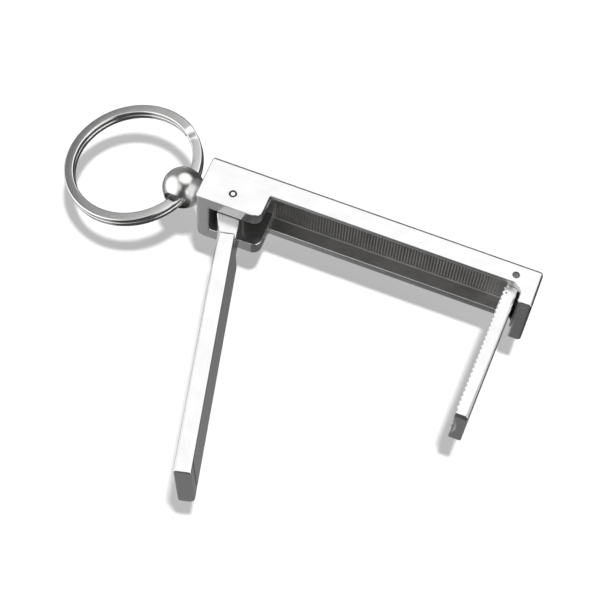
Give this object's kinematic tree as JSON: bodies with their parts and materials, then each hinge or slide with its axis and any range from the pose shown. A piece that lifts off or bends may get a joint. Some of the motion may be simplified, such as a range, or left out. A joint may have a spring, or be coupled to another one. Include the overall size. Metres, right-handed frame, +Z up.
{
  "type": "lip grip",
  "caption": "Pocket lip grip for landing fish: channel body with a ribbed face, a folding toothed jaw, a folding lever and a ball swivel with a split ring.",
  "frame": {"origin": "underside of the body, half way along it, on the centre line of the long spine plate", "axes": "+X along the body from the swivel to the jaw hinge, -Y out of the body's open front, +Z up through the hinge pins"},
  "size_m": [0.1118, 0.0855, 0.0168],
  "materials": {
    "satin_steel": "fine satin",
    "pin_steel": "turned, lightly polished",
    "dark_pin_steel": "dull",
    "polished_steel": "polished"
  },
  "bodies": {
    "body": {"frame": "satin_steel", "lever_pin": "pin_steel", "jaw_pin": "dark_pin_steel", "lever_washers": "pin_steel", "swivel_washers": "pin_steel"},
    "lever": {"lever": "satin_steel"},
    "jaw": {"jaw": "satin_steel", "jaw_dowel": "dark_pin_steel"},
    "swivel": {"swivel_ball": "polished_steel"},
    "ring": {"split_ring": "polished_steel"}
  },
  "joints": [
    {"name": "lever_hinge", "type": "hinge", "parent": "body", "child": "lever", "pos_m": [-0.03097, -0.00505, 0.0084], "axis": [0, 0, 1], "range_deg": [-33, 54]},
    {"name": "jaw_hinge", "type": "hinge", "parent": "body", "child": "jaw", "pos_m": [0.03296, -0.00062, 0.0084], "axis": [0, 0, 1], "range_deg": [-88.7, 4]},
    {"name": "swivel_turn", "type": "hinge", "parent": "body", "child": "swivel", "pos_m": [-0.04375, -0.00315, 0.0084], "axis": [1, 0, 0], "continuous": true},
    {"name": "ring_swing", "type": "hinge", "parent": "swivel", "child": "ring", "pos_m": [-0.04375, -0.00315, 0.0084], "axis": [0, 0, 1], "range_deg": [-2, 23]}
  ]
}
